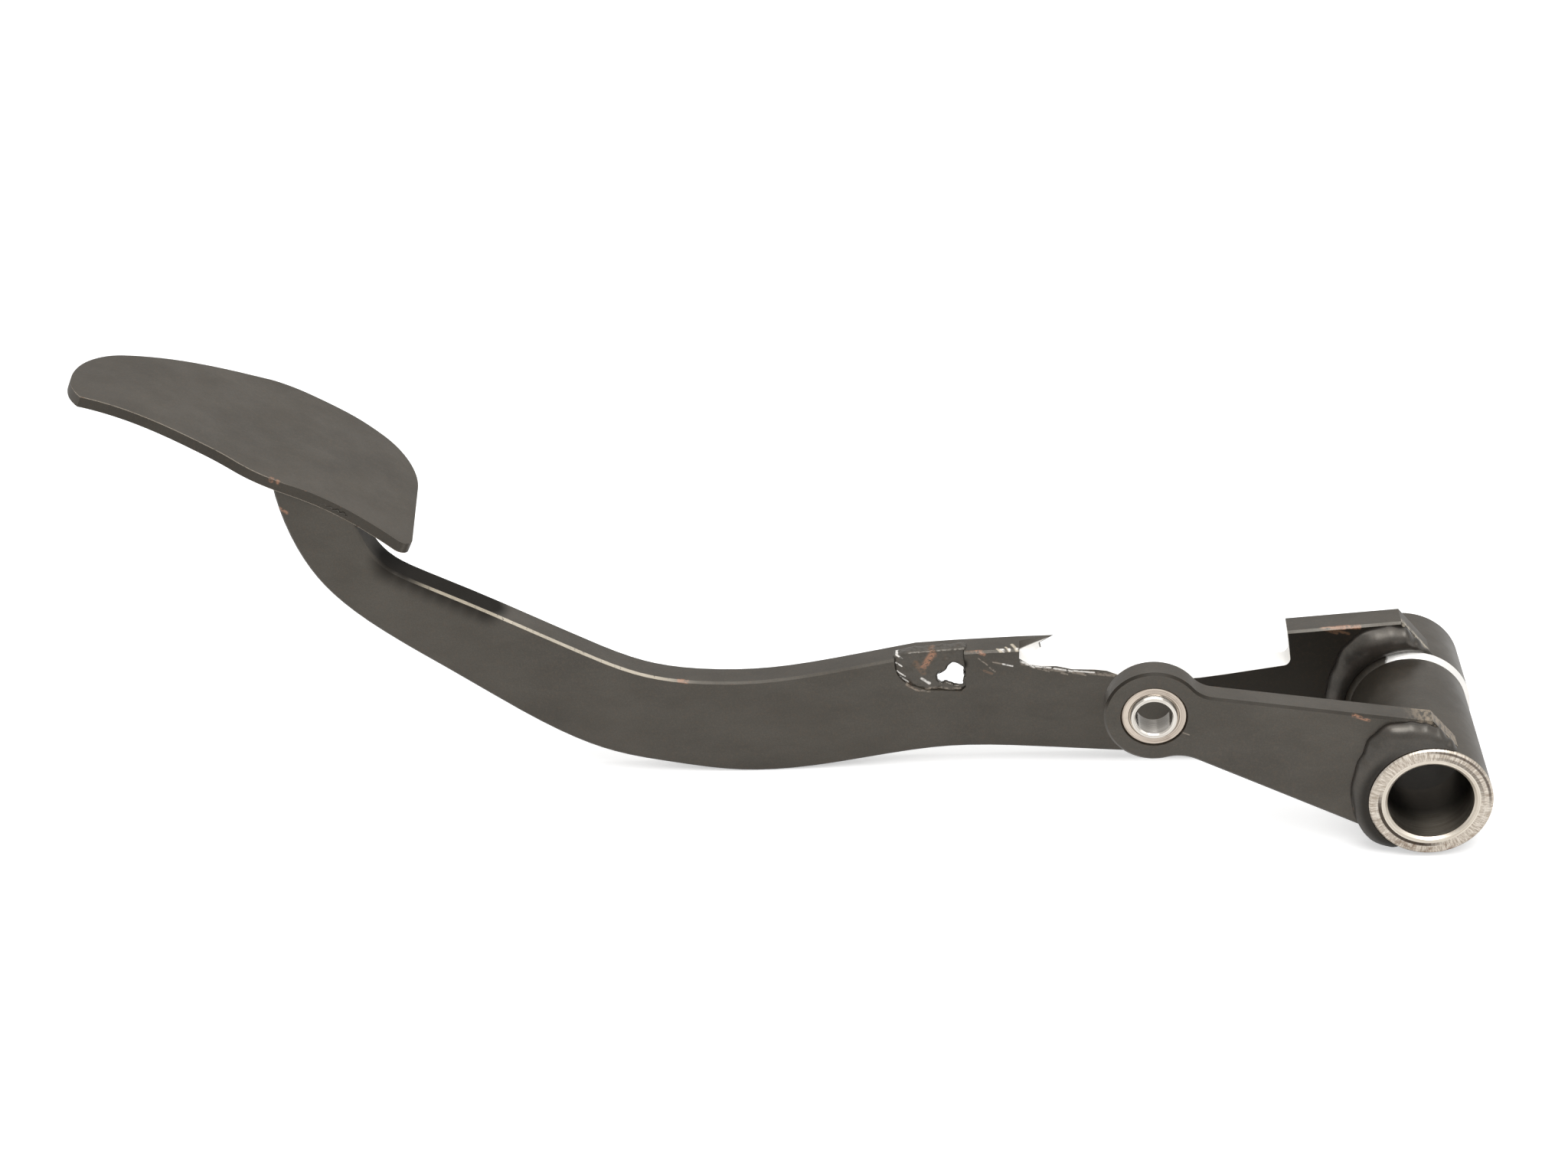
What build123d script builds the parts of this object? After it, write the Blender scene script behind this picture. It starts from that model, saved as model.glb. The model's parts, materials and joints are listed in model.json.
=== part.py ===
"""Brake pedal of a truck: foot plate, flat arm, hub with two bushes and a side lever
whose eye holds the spherical bearing for the pushrod.

Frame: origin on the pivot axis, half way along the hub. +X points away from the foot
plate, +Y runs along the pivot axis from the lever side to the arm side, +Z is up with
the pedal resting on its hub and on the belly of its arm. Lengths are in millimetres.
"""
from build123d import *
import math
import os

os.makedirs("parts", exist_ok=True)

# Hub and its bushes
HUB_LENGTH = 92.0
TUBE_R = 20.0
TUBE_WALL = 4.0
BOSS_STEP = 1.5
BOSS_LENGTH = 31.0
BOSS_CHAMFER = 2.0
SPIGOT_LENGTH = 5.0
EDGE_BREAK = 0.5
BUSH_WALL = 2.0
BUSH_LENGTH = 30.0
BUSH_MOUTH = 0.8

# Where the flat parts stand along the hub
LEVER_SETBACK = 4.0
LEVER_THICK = 8.0
ARM_SETBACK = 18.0
ARM_THICK = 10.0
PLATE_BREAK = 0.8

# Spherical bearing in the lever's eye
EYE_X = -89.4
EYE_Z = 32.6
EYE_R = 16.4
EYE_TOP_BLEND = 10.0
EYE_FOOT_BLEND = 14.0
RING_R = 11.0
RING_WIDTH = 7.0
RING_BREAK = 0.6
BALL_R = 9.0
BALL_WIDTH = 10.0
BALL_BREAK = 0.4
BALL_PLAY = 0.03
PIN_R = 6.0

# Foot plate
FOOT_THICK = 4.0
FOOT_REACH = 60.0

# Weld beads
WELD_DEPTH = 2.4
ARM_WELD_LEG = 10.0
WELD_LEG = 7.5
SEAM_LEG = 6.5
FOOT_WELD_LEG = 5.0
FOOT_TACK_LEG = 1.4
WELD_FLOOR = -21.2
FOOT_SEAM_TIP = -391.0
FOOT_SEAM_HEEL = -369.0
POCKET_DEPTH = 6.0
PATCH_SINK = 1.5
LIP_DEPTH = 3.5
NOTCH_R = 2.5
HOLE_DRIFT = -0.068
HOLE_TILT = -0.563

front = -HUB_LENGTH / 2
back = HUB_LENGTH / 2
tube_bore_r = TUBE_R - TUBE_WALL
spigot_r = TUBE_R - TUBE_WALL / 2
boss_r = TUBE_R + BOSS_STEP
shaft_r = tube_bore_r - BUSH_WALL
boss_front = back - BOSS_LENGTH
lever_front = front + LEVER_SETBACK
lever_back = lever_front + LEVER_THICK
arm_back = back - ARM_SETBACK
arm_front = arm_back - ARM_THICK


def upright(y):
    """Plane across the pivot axis at y, drawn on as x to the right and z up."""
    return Plane.XZ.offset(-y)


def radial(angle):
    """Plane through the pivot axis: first coordinate is the radius, second is y."""
    turn = Vector(1, 0, 0).rotate(Axis.Y, -angle)
    return Plane(origin=(0, 0, 0), x_dir=turn, z_dir=turn.cross(Vector(0, 1, 0)))


# Front tube of the hub: steel pipe whose turned-down end plugs into the rear boss
with BuildPart() as front_hub_tube:
    with BuildSketch(radial(0)):
        with BuildLine():
            Polyline(
                (tube_bore_r, front),
                (TUBE_R - EDGE_BREAK, front),
                (TUBE_R, front + EDGE_BREAK),
                (TUBE_R, boss_front),
                (spigot_r, boss_front),
                (spigot_r, boss_front + SPIGOT_LENGTH),
                (tube_bore_r, boss_front + SPIGOT_LENGTH),
                close=True,
            )
        make_face()
    revolve(axis=Axis.Y)
front_hub_tube.part.label = "front_hub_tube"

# Rear boss of the hub: thicker, with a turned cone where it meets the tube
with BuildPart() as rear_hub_boss:
    with BuildSketch(radial(0)):
        with BuildLine():
            Polyline(
                (spigot_r, boss_front),
                (TUBE_R, boss_front),
                (boss_r, boss_front + BOSS_CHAMFER),
                (boss_r, back),
                (tube_bore_r, back),
                (tube_bore_r, boss_front + SPIGOT_LENGTH),
                (spigot_r, boss_front + SPIGOT_LENGTH),
                close=True,
            )
        make_face()
    revolve(axis=Axis.Y)
rear_hub_boss.part.label = "rear_hub_boss"

# Plain bushes pressed in from both ends
with BuildPart() as front_bush:
    with BuildSketch(radial(0)):
        with BuildLine():
            Polyline(
                (shaft_r + BUSH_MOUTH, front),
                (tube_bore_r, front),
                (tube_bore_r, front + BUSH_LENGTH),
                (shaft_r, front + BUSH_LENGTH),
                (shaft_r, front + BUSH_MOUTH),
                close=True,
            )
        make_face()
    revolve(axis=Axis.Y)
front_bush.part.label = "front_bush"

with BuildPart() as rear_bush:
    add(front_bush.part)
    mirror(about=Plane.XZ, mode=Mode.REPLACE)
rear_bush.part.label = "rear_bush"

# Side lever: flat plate from the hub up to the eye, with the same rolled front edge
with BuildPart() as front_lever:
    with BuildSketch(upright(lever_back)):
        with BuildLine():
            Polyline(
                (EYE_X + 3.4, EYE_Z + 9.0),
                (0.3, 28.0),
                (8.6, 18.0),
                (0.0, 0.0),
                (-8.9, -17.9),
                (EYE_X + 3.4, EYE_Z - 11.8),
                close=True,
            )
        make_face()
        with Locations((EYE_X, EYE_Z)):
            Circle(EYE_R)
    extrude(amount=LEVER_THICK)
    neck = (EYE_X + EYE_R / 3, EYE_X + EYE_R * 1.3)
    waist = edges().filter_by(Axis.Y).filter_by_position(Axis.X, *neck).sort_by(Axis.Z)
    fillet(waist[0], radius=EYE_FOOT_BLEND)
    fillet(waist[-1], radius=EYE_TOP_BLEND)
    rim = faces().sort_by(Axis.Y)[0].edges()
    chamfer(rim, length=PLATE_BREAK)
    with Locations(upright(lever_back)):
        with Locations((0, 0)):
            Cylinder(TUBE_R, LEVER_THICK, align=(Align.CENTER, Align.CENTER, Align.MIN), mode=Mode.SUBTRACT)
        with Locations((EYE_X, EYE_Z)):
            Cylinder(RING_R, LEVER_THICK, align=(Align.CENTER, Align.CENTER, Align.MIN), mode=Mode.SUBTRACT)
front_lever.part.label = "front_lever"

# Spherical bearing: ring pressed in the eye, ball free to swivel in its race
eye_y = (lever_front + lever_back) / 2
eye_axis = Axis((EYE_X, eye_y, EYE_Z), (0, 1, 0))
eye_section = Plane(origin=(EYE_X, eye_y, EYE_Z), x_dir=(1, 0, 0), z_dir=(0, 0, 1))
race_r = BALL_R + BALL_PLAY
race_flat = math.asin(RING_WIDTH / 2 / race_r) / 3
race_corner_r = race_r / math.cos(race_flat)
race_corner_y = race_corner_r * math.sin(race_flat)
race_mouth_r = race_corner_r * math.cos(3 * race_flat)
ball_face_r = math.sqrt(BALL_R**2 - (BALL_WIDTH / 2) ** 2)
with BuildPart() as bearing_outer_ring:
    with BuildSketch(eye_section):
        with BuildLine():
            Polyline(
                (race_mouth_r, -RING_WIDTH / 2),
                (race_corner_r * math.cos(race_flat), -race_corner_y),
                (race_corner_r * math.cos(race_flat), race_corner_y),
                (race_mouth_r, RING_WIDTH / 2),
                (RING_R - RING_BREAK, RING_WIDTH / 2),
                (RING_R, RING_WIDTH / 2 - RING_BREAK),
                (RING_R, RING_BREAK - RING_WIDTH / 2),
                (RING_R - RING_BREAK, -RING_WIDTH / 2),
                close=True,
            )
        make_face()
    revolve(axis=eye_axis)
bearing_outer_ring.part.label = "bearing_outer_ring"

with BuildPart() as bearing_ball:
    with BuildSketch(eye_section):
        with BuildLine():
            crown = ThreePointArc(
                (ball_face_r, -BALL_WIDTH / 2), (BALL_R, 0.0), (ball_face_r, BALL_WIDTH / 2)
            )
            Polyline(
                crown @ 1,
                (PIN_R + BALL_BREAK, BALL_WIDTH / 2),
                (PIN_R, BALL_WIDTH / 2 - BALL_BREAK),
                (PIN_R, BALL_BREAK - BALL_WIDTH / 2),
                (PIN_R + BALL_BREAK, -BALL_WIDTH / 2),
                crown @ 0,
            )
        make_face()
    revolve(axis=eye_axis)
bearing_ball.part.label = "bearing_ball"

# Bent strip the foot plate is cut from
foot_curve = [
    (-472.0, 140.6),
    (-458.5, 138.0),
    (-442.4, 132.4),
    (-422.3, 121.8),
    (-400.2, 108.3),
    (-380.0, 97.4),
    (-360.0, 83.7),
    (-342.0, 69.6),
]
foot_top = Edge.make_spline([Vector(x, z) for x, z in foot_curve])
foot_underside = []
for station in range(9):
    along = foot_top % (station / 8)
    foot_underside.append((foot_top @ (station / 8)) + Vector(along.Y, -along.X) * FOOT_THICK)
with BuildPart() as foot_strip:
    with BuildSketch(upright(back + FOOT_REACH)):
        with BuildLine():
            Spline(*foot_curve)
            Spline(*foot_underside)
            Line(foot_curve[0], foot_underside[0])
            Line(foot_curve[-1], foot_underside[-1])
        make_face()
    extrude(amount=FOOT_REACH * 2)

# Foot plate: the strip cut square to its chord, measured from its tip and from the arm's
# front face
foot_chord = Vector(foot_curve[-1]) - Vector(foot_curve[0])
foot_plan = Plane(
    origin=(foot_curve[0][0], arm_front, foot_curve[0][1]),
    x_dir=(foot_chord.X, 0.0, foot_chord.Y),
    z_dir=(-foot_chord.Y, 0.0, foot_chord.X),
)
with BuildPart() as foot_plate:
    add(foot_strip.part)
    with BuildSketch(foot_plan) as foot_outline:
        with BuildLine():
            heel = Line((139.9, 5.0), (133.0, 40.0))
            corner = TangentArc(heel @ 0, (135.6, -0.7), tangent=-(heel % 0))
            shoulder = TangentArc(heel @ 1, (113.0, 62.0), tangent=heel % 1)
            crest = ThreePointArc(shoulder @ 1, (98.0, 65.6), (82.0, 67.6))
            brow = TangentArc(crest @ 1, (66.0, 64.8), tangent=crest % 1)
            flank = Line(brow @ 1, (17.0, 39.2))
            nose = TangentArc(flank @ 1, (6.3, 23.0), tangent=flank % 1)
            nose_end = TangentArc(nose @ 1, (9.3, 7.0), tangent=nose % 1)
            tip = TangentArc(nose_end @ 1, (15.0, -0.4), tangent=nose_end % 1)
            near_side = Line(tip @ 1, (62.0, -0.4))
            dip = TangentArc(near_side @ 1, (73.0, -1.5), tangent=near_side % 1)
            bulge = TangentArc(dip @ 1, (94.0, -1.9), tangent=dip % 1)
            TangentArc(bulge @ 1, corner @ 1, tangent=bulge % 1)
        make_face()
    extrude(amount=40.0, both=True, mode=Mode.INTERSECT)
foot_plate.part.label = "foot_plate"

# Blank of the arm: flat plate with a rolled front edge, hollowed to the boss and foot plate
tab_top = (-2.6, 32.8)
tab_right = (8.2, 19.3)
with BuildPart() as arm_blank:
    with BuildSketch(upright(arm_back)):
        with BuildLine():
            upper = Spline(
                (-367.0, 92.0),
                (-364.5, 76.0),
                (-359.3, 67.9),
                (-349.0, 60.9),
                (-333.3, 52.8),
                (-307.2, 38.6),
                (-291.6, 30.0),
                (-270.3, 20.2),
                (-248.2, 16.3),
                (-225.9, 16.2),
                (-203.5, 19.1),
                (-184.0, 22.6),
                (-171.8, 24.8),
            )
            Polyline(
                upper @ 1,
                (-158.0, 25.5),
                (-134.8, 26.2),
                (-122.5, 26.3),
                (-41.3, 30.3),
                tab_top,
                tab_right,
                (0.0, 0.0),
                (-1.4, -21.45),
            )
            lower = Spline(
                (-1.4, -21.45),
                (-50.0, -19.5),
                (-101.2, -16.5),
                (-133.7, -13.9),
                (-161.3, -13.2),
                (-189.3, -16.8),
                (-212.0, -20.3),
                (-240.0, -21.2),
                (-263.1, -17.5),
                (-285.7, -11.8),
                (-307.5, -0.6),
                (-338.7, 22.0),
                (-364.4, 41.4),
                (-383.8, 62.3),
                (-391.8, 81.9),
                (-394.5, 104.0),
            )
            Line(lower @ 1, upper @ 0)
        make_face()
    extrude(amount=ARM_THICK)
    rim = faces().sort_by(Axis.Y)[0].edges()
    chamfer(rim, length=PLATE_BREAK)
    with Locations(upright(arm_back)):
        Cylinder(boss_r, ARM_THICK, align=(Align.CENTER, Align.CENTER, Align.MIN), mode=Mode.SUBTRACT)
    with BuildSketch(upright(arm_back)):
        with BuildLine():
            Spline(*foot_curve)
            Polyline(foot_curve[-1], (-342.0, 170.0), (-472.0, 170.0), foot_curve[0])
        make_face()
    extrude(amount=ARM_THICK, mode=Mode.SUBTRACT)
    add(foot_strip.part, mode=Mode.SUBTRACT)

# Pocket in the arm's front face, open at the arm's upper edge
with BuildPart() as pocket:
    with BuildSketch(upright(arm_front + POCKET_DEPTH)):
        with BuildLine():
            Polyline(
                (-175.0, 13.2),
                (-168.3, 10.6),
                (-155.9, 9.8),
                (-154.1, 11.6),
                (-154.1, 34.0),
                (-179.1, 34.0),
                (-179.1, 21.5),
            )
            ThreePointArc((-179.1, 21.5), (-178.2, 17.0), (-175.0, 13.2))
        make_face()
    extrude(amount=POCKET_DEPTH)

# Burnt-through hole, slanting down towards the back of the arm
with BuildPart() as burn_hole:
    with BuildSketch(upright(arm_front)) as burn_outline:
        with BuildLine():
            Polyline(
                (-164.6, 17.3),
                (-164.8, 14.8),
                (-162.7, 13.2),
                (-161.3, 13.8),
                (-158.6, 12.4),
                (-154.8, 12.6),
                (-154.1, 15.4),
                (-153.8, 17.9),
                (-154.1, 20.4),
                (-156.2, 22.1),
                (-158.6, 22.8),
                (-160.6, 21.6),
                (-161.5, 19.1),
                (-163.8, 18.2),
                close=True,
            )
        make_face()
    extrude(amount=2 * ARM_THICK, dir=(HOLE_DRIFT, 1.0, HOLE_TILT))

# Finished arm: notch for the pushrod fork, ragged at its left end, pocket and hole
notch_corner = (-134.7, 22.6)
with BuildPart() as arm_plate:
    add(arm_blank.part)
    with BuildSketch(upright(arm_back)):
        with BuildLine():
            Polyline(
                (-100.3, 15.0),
                (-90.0, 12.9),
                (-80.0, 12.4),
                (-71.7, 12.9),
                (-62.9, 14.0),
                (-44.3, 16.7),
                (-40.1, 17.3),
                (-41.4, 31.0),
                (-41.4, 40.0),
                (-100.3, 40.0),
                close=True,
            )
        make_face()
    extrude(amount=ARM_THICK, mode=Mode.SUBTRACT)
    fillet(edges().filter_by(Axis.Y).sort_by_distance((-40.1, arm_front, 17.3))[0], radius=NOTCH_R)
    with BuildSketch(upright(arm_back - LIP_DEPTH)) as lip_near:
        with BuildLine():
            Polyline(
                (-100.3, 15.0),
                (-100.3, 40.0),
                (-134.6, 40.0),
                (-134.6, 25.7),
                notch_corner,
                (-131.1, 20.0),
                (-127.1, 19.3),
                (-121.7, 19.1),
                (-116.3, 17.7),
                (-108.3, 17.3),
                (-104.2, 16.7),
                close=True,
            )
        make_face()
    extrude(amount=ARM_THICK - LIP_DEPTH, mode=Mode.SUBTRACT)
    with BuildSketch(upright(arm_back)) as lip_far:
        with BuildLine():
            Polyline(
                (-100.3, 15.0),
                (-100.3, 40.0),
                (-122.0, 40.0),
                (-122.0, 26.6),
                (-127.4, 23.4),
                (-127.1, 21.6),
                (-124.4, 20.2),
                (-120.4, 19.1),
                (-116.3, 17.7),
                (-108.3, 17.3),
                (-104.2, 16.7),
                close=True,
            )
        make_face()
    loft(sections=[lip_near.sketch, lip_far.sketch], ruled=True, mode=Mode.SUBTRACT)
    add(pocket.part, mode=Mode.SUBTRACT)
    add(burn_hole.part, mode=Mode.SUBTRACT)
arm_plate.part.label = "arm_plate"

# Weld metal laid into the left part of the pocket
with BuildPart() as arm_weld_patch:
    add(pocket.part)
    with BuildSketch(Plane.YZ.offset(-190.0)):
        with BuildLine():
            Polyline(
                (arm_front + POCKET_DEPTH, 0.0),
                (arm_front + PATCH_SINK, 0.0),
                (arm_front + PATCH_SINK, 17.0),
                (arm_front + 2 * PATCH_SINK, 30.0),
                (arm_front + POCKET_DEPTH, 30.0),
                close=True,
            )
        make_face()
    extrude(amount=40.0, mode=Mode.INTERSECT)
    add(arm_blank.part, mode=Mode.INTERSECT)
    add(burn_hole.part, mode=Mode.SUBTRACT)
arm_weld_patch.part.label = "arm_weld_patch"

# Fillet weld round the boss on the arm's front face, up to the arm's right edge
with BuildPart() as arm_boss_weld_front:
    with BuildSketch(radial(262)):
        with BuildLine():
            Polyline(
                (boss_r + ARM_WELD_LEG, arm_front),
                (boss_r, arm_front),
                (boss_r, boss_front + BOSS_CHAMFER),
                (boss_r + ARM_WELD_LEG * 0.2, boss_front),
                (boss_r + ARM_WELD_LEG * 0.6, boss_front),
                close=True,
            )
        make_face()
    revolve(axis=Axis.Y, revolution_arc=192)
    split(bisect_by=Plane(origin=(tab_right[0], 0.0, tab_right[1]), z_dir=(-1.25, 0.0, -1.0)), keep=Keep.TOP)
    split(bisect_by=Plane.XY.offset(WELD_FLOOR), keep=Keep.TOP)
arm_boss_weld_front.part.label = "arm_boss_weld_front"

# Fillet weld round the boss on the arm's back face
with BuildPart() as arm_boss_weld_back:
    with BuildSketch(radial(262)):
        with BuildLine():
            Polyline(
                (boss_r + SEAM_LEG, arm_back),
                (boss_r, arm_back),
                (boss_r, arm_back + SEAM_LEG),
                close=True,
            )
        make_face()
    revolve(axis=Axis.Y, revolution_arc=160)
    split(bisect_by=Plane.XY.offset(WELD_FLOOR), keep=Keep.TOP)
arm_boss_weld_back.part.label = "arm_boss_weld_back"

# Fillet weld between the lever's front face and the front tube
with BuildPart() as lever_tube_weld:
    with BuildSketch(radial(246)):
        with BuildLine():
            Polyline(
                (TUBE_R + WELD_LEG, lever_front),
                (TUBE_R, lever_front),
                (TUBE_R, front + EDGE_BREAK),
                (TUBE_R + WELD_LEG * 0.55, lever_front - WELD_DEPTH),
                close=True,
            )
        make_face()
    revolve(axis=Axis.Y, revolution_arc=176)
    split(bisect_by=Plane(origin=(0.0, 0.0, -24.0), z_dir=(0.5, 0.0, 1.0)), keep=Keep.TOP)
    split(bisect_by=Plane.XY.offset(WELD_FLOOR), keep=Keep.TOP)
lever_tube_weld.part.label = "lever_tube_weld"

# Welds along the top of the arm, under the foot plate
with BuildPart() as foot_weld_back:
    with BuildLine() as seam:
        Spline(*[(point.X, arm_back, point.Y) for point in foot_underside])
        split(bisect_by=Plane.YZ.offset(FOOT_SEAM_TIP), keep=Keep.TOP)
        split(bisect_by=Plane.YZ.offset(FOOT_SEAM_HEEL), keep=Keep.BOTTOM)
    with BuildSketch(Plane(origin=seam.line @ 0, x_dir=(0, 1, 0), z_dir=seam.line % 0)):
        with BuildLine():
            Polyline(
                (FOOT_WELD_LEG, 0.0),
                (0.0, 0.0),
                (0.0, -FOOT_WELD_LEG),
                (FOOT_WELD_LEG * 0.6, -FOOT_WELD_LEG * 0.6),
                close=True,
            )
        make_face()
    sweep(path=seam.line)
foot_weld_back.part.label = "foot_weld_back"

with BuildPart() as foot_weld_front:
    with BuildLine() as seam:
        Spline(*[(point.X, arm_front, point.Y) for point in foot_underside])
        split(bisect_by=Plane.YZ.offset(FOOT_SEAM_TIP), keep=Keep.TOP)
        split(bisect_by=Plane.YZ.offset(FOOT_SEAM_HEEL), keep=Keep.BOTTOM)
    with BuildSketch(Plane(origin=seam.line @ 0, x_dir=(0, 1, 0), z_dir=seam.line % 0)):
        with BuildLine():
            Polyline((-FOOT_TACK_LEG, 0.0), (0.0, 0.0), (0.0, -FOOT_TACK_LEG), close=True)
        make_face()
    sweep(path=seam.line)
foot_weld_front.part.label = "foot_weld_front"

for piece in (front_hub_tube, rear_hub_boss, front_bush, rear_bush, front_lever,
              bearing_outer_ring, bearing_ball, foot_plate, arm_plate, arm_weld_patch,
              arm_boss_weld_front, arm_boss_weld_back, lever_tube_weld,
              foot_weld_back, foot_weld_front):
    export_step(piece.part, f"parts/{piece.part.label}.step")
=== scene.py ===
"""Looks of the brake pedal: paint, bare steel, weld beads, floor, light and camera.

The plates, tubes, bushes and bearing are the frame's own nodes, with materials made here. The weld
beads and the pocket's patch are sculpted anew where the frame has them. The part's places and sizes
are in millimetres; Blender's own are in metres.
"""
import json
import math

import bmesh
import bpy
from mathutils import Matrix, Vector, noise


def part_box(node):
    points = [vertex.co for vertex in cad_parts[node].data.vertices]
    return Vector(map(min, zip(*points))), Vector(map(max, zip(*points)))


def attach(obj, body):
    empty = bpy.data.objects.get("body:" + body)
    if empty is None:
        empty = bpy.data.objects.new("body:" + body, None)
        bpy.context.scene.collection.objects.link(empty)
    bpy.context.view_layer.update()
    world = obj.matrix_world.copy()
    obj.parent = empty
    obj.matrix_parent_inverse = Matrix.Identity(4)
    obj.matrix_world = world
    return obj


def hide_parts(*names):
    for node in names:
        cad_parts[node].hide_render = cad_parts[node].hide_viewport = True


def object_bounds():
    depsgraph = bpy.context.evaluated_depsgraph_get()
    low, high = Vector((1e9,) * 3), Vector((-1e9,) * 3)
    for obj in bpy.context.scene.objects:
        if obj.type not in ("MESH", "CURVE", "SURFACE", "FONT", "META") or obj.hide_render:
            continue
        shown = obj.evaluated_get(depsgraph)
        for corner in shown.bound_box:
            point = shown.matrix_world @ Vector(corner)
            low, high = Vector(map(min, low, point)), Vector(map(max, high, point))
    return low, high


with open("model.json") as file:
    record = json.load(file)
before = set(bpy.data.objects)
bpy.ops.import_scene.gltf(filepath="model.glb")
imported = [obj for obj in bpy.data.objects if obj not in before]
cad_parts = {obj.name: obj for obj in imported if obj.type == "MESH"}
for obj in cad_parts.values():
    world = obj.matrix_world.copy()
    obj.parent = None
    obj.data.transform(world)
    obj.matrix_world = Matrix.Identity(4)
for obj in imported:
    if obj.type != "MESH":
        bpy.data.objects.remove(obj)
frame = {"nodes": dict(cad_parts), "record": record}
cad_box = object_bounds()
nodes = frame["nodes"]
scene = bpy.context.scene
scene.view_settings.view_transform = "Standard"
MM = 0.001


# Driving places of the part, from the frame
def low_corner(node_name):
    """Lowest corner of a node, in millimetres."""
    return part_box(node_name)[0] / MM


def high_corner(node_name):
    """Highest corner of a node, in millimetres."""
    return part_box(node_name)[1] / MM


hub_front = low_corner("front_hub_tube").y
tube_r = high_corner("front_hub_tube").x
boss_r = high_corner("rear_hub_boss").x
boss_front = low_corner("rear_hub_boss").y
bore_r = high_corner("front_bush").x
lever_face = low_corner("front_lever").y
arm_face = low_corner("arm_plate").y
arm_back = high_corner("arm_plate").y
pushrod = next(mount["pos_m"] for mount in frame["record"]["mounts"] if mount["name"] == "pushrod_bore")
eye_axis = (pushrod[0] / MM, pushrod[2] / MM)

# The fork notch, cut into the arm's top
NOTCH_LEFT = -134.9
NOTCH_RIGHT = -41.0
NOTCH_ROOF_END = -115.75
NOTCH_FLOOR = 32.5
NOTCH_FLOOR_SLOPE = 0.055
NOTCH_ROOF = 56.5
NOTCH_ROOF_SLOPE = 0.25
TAB_CORNER = -38.5
TAB_FOOT = -47.5
TAB_TOP = 29.9

# Where rubbed places, painted highlights and painted shade start or end along x, and how wide marks on the
# turned faces are
TAB_RUB_LEFT = -3.7
# ends of the painted highlight along the bevel of the arm's top front edge
BEVEL_HIGHLIGHT_LEFT = -346.0
BEVEL_HIGHLIGHT_RIGHT = -259.0
# start of the painted shade on the arm's face behind the lever
SHADE_BEHIND_LEVER_LEFT = -81.0
# ends of the painted highlight lines on the foot plate's rim
RIM_TOP_RIGHT = -390.5
RIM_LOW_LEFT = -397.0
LEVER_RUB_LEFT = -5.5
CONE_CLEAR_LEFT = -7.75
CONE_DEPTH = 2.125
SEAM_WIDTH = 1.1
LINE_START = tube_r - 1.525
LINE_END = tube_r - 0.675

# Colours of paint, rust and steel, and of painted highlights and painted shade
BLACK = (0.0225, 0.0195, 0.0155)
FOOT_BLACK = (0.0245, 0.0208, 0.0162)
WELD_BLACK = (0.018, 0.0165, 0.015)
PATCH_BLACK = (0.030, 0.027, 0.023)
THIN_PAINT = (0.16, 0.14, 0.115)
DUST = (0.30, 0.27, 0.22)
COPPER = (0.30, 0.145, 0.085)
RUST = (0.105, 0.060, 0.036)
# colour of painted highlights (glints)
GLINT = (0.66, 0.64, 0.61)
# colour of pale marks: scratches, and painted highlights along lit rims
PALE_SCRATCH_AND_HIGHLIGHT = (0.22, 0.185, 0.15)
# near-black colour of painted shade in creases, bores and shadowed corners
PAINTED_SHADE_BLACK = (0.008, 0.007, 0.006)
BRIGHT = (0.93, 0.92, 0.90)
# pale colour of rubbed paint on the tab's end, also of painted highlights on the arm's top
ARM_RUB_AND_HIGHLIGHT = (0.42, 0.37, 0.29)
FOOT_RIM_HIGHLIGHT = (0.50, 0.43, 0.35)
# colour of painted highlight lines on the foot plate's rim
LEVER_RUB = (0.27, 0.215, 0.155)
BURNT = (0.050, 0.038, 0.031)
OILY = (0.16, 0.11, 0.075)
SHADED_STEEL = (0.035, 0.030, 0.024)
TURNED_DARK = (0.40, 0.335, 0.27)
TURNED_LIGHT = (0.80, 0.735, 0.65)
TURNED_RING = (0.90, 0.86, 0.80)
TURNED_STAIN = (0.20, 0.125, 0.08)
SEAM_DARK = (0.045, 0.032, 0.024)
LINE_DARK = (0.07, 0.05, 0.04)
CONE_STEEL = (0.88, 0.86, 0.83)
GROUND_STEEL = (0.90, 0.89, 0.87)
WARM = (1.0, 0.935, 0.84)

# Strength of the paint's reflection: usual, lower where shade is painted, and lowest at spots of painted
# shade
SHEEN = 0.95
SHADE_SHEEN = 0.22
DEEP_SHADE_SHEEN = 0.08

# Kinds of mark: colour, strength, and the noise levels between which they break up.
# Rust and chips are scratches, glints are painted highlights, pale lines are scratches and painted highlights
SCRATCHES_AND_GLINTS = {
    "rust": (RUST, 0.8, 0.36, 0.52),
    "pale": (PALE_SCRATCH_AND_HIGHLIGHT, 0.8, 0.40, 0.54),
    "chips": (COPPER, 0.8, 0.38, 0.54),
    "glints": (GLINT, 1.0, 0.36, 0.48),
}


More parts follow.
